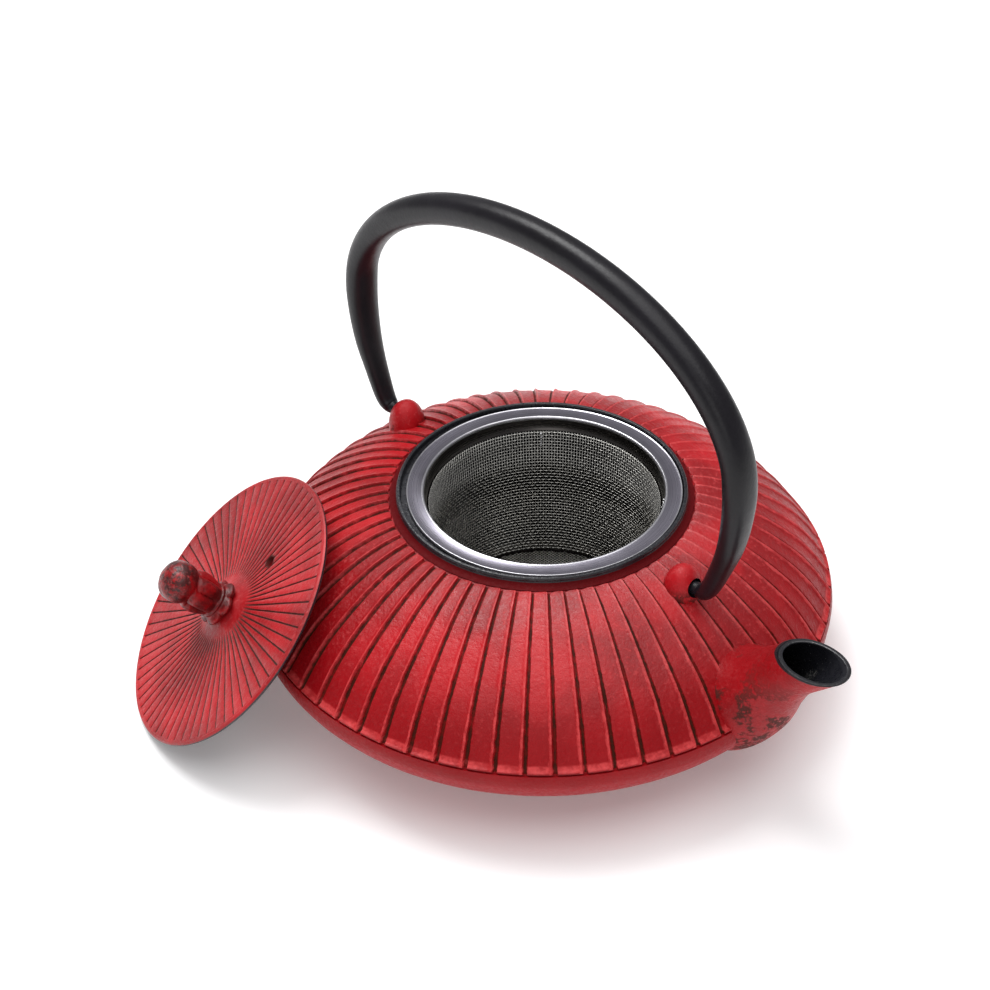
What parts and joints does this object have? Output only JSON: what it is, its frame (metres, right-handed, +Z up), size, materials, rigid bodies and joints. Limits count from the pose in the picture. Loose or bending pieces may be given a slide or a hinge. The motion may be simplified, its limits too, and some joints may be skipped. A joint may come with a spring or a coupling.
{
  "type": "cast iron teapot",
  "caption": "Wide low cast iron teapot with parasol ribs, short spout, swinging bail handle, drop-in steel mesh strainer and a knobbed lid leaning against its side.",
  "frame": {"origin": "centre of the pot's flat base, on the table and on the pot's own axis", "axes": "+Z up along the pot's axis, +X towards the spout, the handle's hinge line lies along X"},
  "size_m": [0.2016, 0.1989, 0.1472],
  "materials": {
    "red_casting": "red enamel paint over sand-cast iron, dark rub in the grooves",
    "red_lid": "red enamel paint over sand-cast iron, dark rub in the grooves",
    "red_knob": "deep red gloss over dark iron",
    "black_handle": "black satin enamel",
    "steel_ring": "satin stainless steel",
    "steel_mesh": "fine woven stainless wire",
    "steel_nut": "plain steel"
  },
  "bodies": {
    "pot": {"pot_bowl": "red_casting", "pot_shoulder": "red_casting", "spout": "red_casting"},
    "handle": {"handle": "black_handle"},
    "lid": {"lid": "red_lid", "lid_knob": "red_knob", "knob_nut": "steel_nut"},
    "strainer": {"strainer_ring": "steel_ring", "strainer_wall": "steel_mesh", "strainer_floor": "steel_mesh", "strainer_hoop": "steel_ring"}
  },
  "joints": [
    {"name": "handle_swing", "type": "hinge", "parent": "pot", "child": "handle", "pos_m": [-0.0018, 0, 0.0566], "axis": [1, 0, 0], "range_deg": [-95, 90]},
    {"name": "lid_lift", "type": "slide", "parent": "pot", "child": "lid", "axis": [-0.368, -0.6124, 0.6997], "range_m": [0, 0.15]},
    {"name": "strainer_lift", "type": "slide", "parent": "pot", "child": "strainer", "axis": [0, 0, 1], "range_m": [0, 0.06]}
  ]
}
